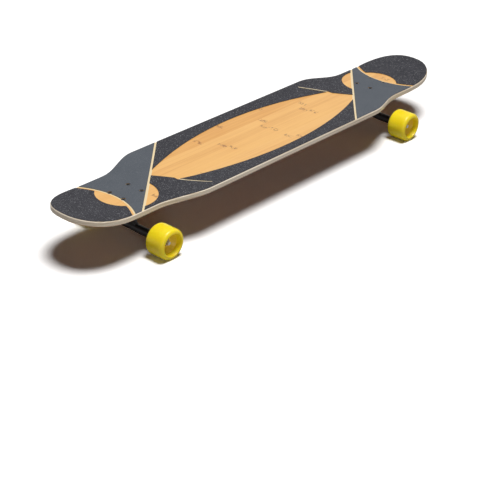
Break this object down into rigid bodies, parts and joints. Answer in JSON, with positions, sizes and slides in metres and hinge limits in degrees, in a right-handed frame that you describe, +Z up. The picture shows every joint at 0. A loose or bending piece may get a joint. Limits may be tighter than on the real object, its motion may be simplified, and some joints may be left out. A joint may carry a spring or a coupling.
{
  "type": "longboard",
  "caption": "Drop-shoulder longboard with a bamboo and cork deck, grip panels, reverse-kingpin trucks and wide soft wheels.",
  "frame": {"origin": "on the floor below the middle of the board, at the middle of the box's underside", "axes": "+X along the board towards the nose end, +Y across the board, +Z up out of the deck's standing face"},
  "size_m": [1.211, 0.276, 0.1286],
  "materials": {
    "grip_charcoal": "coarse charcoal grip sheet with small bright grains",
    "grip_slate": "slate grey grip sheet, matt and grainy",
    "bamboo": "clear varnished bamboo, brown knots, pale laminated rail",
    "cork": "sealed cork, speckled",
    "truck_black": "satin black coating",
    "black_rubber": "matt black urethane",
    "cup_plastic": "pale hard plastic",
    "zinc": "zinc plated, faintly yellow",
    "bright_steel": "bright steel",
    "wheel_yellow": "satin yellow urethane, slightly translucent",
    "core_yellow": "yellow moulded core",
    "bearing_dark": "dark shielded bearing",
    "bolt_black": "black bolt with a plain nut"
  },
  "bodies": {
    "board": {"deck_core": "bamboo", "cork_skin": "cork", "side_grip_far": "grip_charcoal", "side_grip_near": "grip_charcoal", "truck_grip_left": "grip_slate", "truck_grip_right": "grip_slate", "tail_grip": "grip_charcoal", "nose_grip": "grip_charcoal", "riser_pad_right": "black_rubber", "baseplate_right": "truck_black", "pivot_cup_right": "cup_plastic", "kingpin_right": "zinc", "board_bushing_right": "black_rubber", "road_bushing_right": "black_rubber", "board_washer_right": "zinc", "road_washer_right": "zinc", "kingpin_nut_right": "zinc", "riser_pad_left": "black_rubber", "baseplate_left": "truck_black", "pivot_cup_left": "cup_plastic", "kingpin_left": "zinc", "board_bushing_left": "black_rubber", "road_bushing_left": "black_rubber", "board_washer_left": "zinc", "road_washer_left": "zinc", "kingpin_nut_left": "zinc", "deck_bolt_1": "bolt_black", "deck_bolt_2": "bolt_black", "deck_bolt_3": "bolt_black", "deck_bolt_4": "bolt_black", "deck_bolt_5": "bolt_black", "deck_bolt_6": "bolt_black", "deck_bolt_7": "bolt_black", "deck_bolt_8": "bolt_black"},
    "truck_right": {"hanger_right": "truck_black", "axle_right": "bright_steel", "axle_nut_right_near": "zinc", "axle_nut_right_far": "zinc"},
    "truck_left": {"hanger_left": "truck_black", "axle_left": "bright_steel", "axle_nut_left_near": "zinc", "axle_nut_left_far": "zinc"},
    "wheel_right_near": {"tyre_right_near": "wheel_yellow", "core_right_near": "core_yellow", "bearing_inner_right_near": "bearing_dark", "bearing_outer_right_near": "bearing_dark"},
    "wheel_right_far": {"tyre_right_far": "wheel_yellow", "core_right_far": "core_yellow", "bearing_inner_right_far": "bearing_dark", "bearing_outer_right_far": "bearing_dark"},
    "wheel_left_near": {"tyre_left_near": "wheel_yellow", "core_left_near": "core_yellow", "bearing_inner_left_near": "bearing_dark", "bearing_outer_left_near": "bearing_dark"},
    "wheel_left_far": {"tyre_left_far": "wheel_yellow", "core_left_far": "core_yellow", "bearing_inner_left_far": "bearing_dark", "bearing_outer_left_far": "bearing_dark"}
  },
  "joints": [
    {"name": "steer_right", "type": "hinge", "parent": "board", "child": "truck_right", "pos_m": [0.40661, 0, 0.04657], "axis": [0.6428, 0, 0.766], "range_deg": [-15, 15], "stiffness_Nm_per_rad": 40, "deforming": ["board_bushing_right", "road_bushing_right"]},
    {"name": "steer_left", "type": "hinge", "parent": "board", "child": "truck_left", "pos_m": [-0.40661, 0, 0.04657], "axis": [-0.6428, 0, 0.766], "range_deg": [-15, 15], "stiffness_Nm_per_rad": 40, "deforming": ["board_bushing_left", "road_bushing_left"]},
    {"name": "spin_right_near", "type": "hinge", "parent": "truck_right", "child": "wheel_right_near", "pos_m": [0.4204, -0.1125, 0.035], "axis": [0, 1, 0], "continuous": true},
    {"name": "spin_right_far", "type": "hinge", "parent": "truck_right", "child": "wheel_right_far", "pos_m": [0.4204, 0.1125, 0.035], "axis": [0, 1, 0], "continuous": true},
    {"name": "spin_left_near", "type": "hinge", "parent": "truck_left", "child": "wheel_left_near", "pos_m": [-0.4204, -0.1125, 0.035], "axis": [0, 1, 0], "continuous": true},
    {"name": "spin_left_far", "type": "hinge", "parent": "truck_left", "child": "wheel_left_far", "pos_m": [-0.4204, 0.1125, 0.035], "axis": [0, 1, 0], "continuous": true}
  ]
}
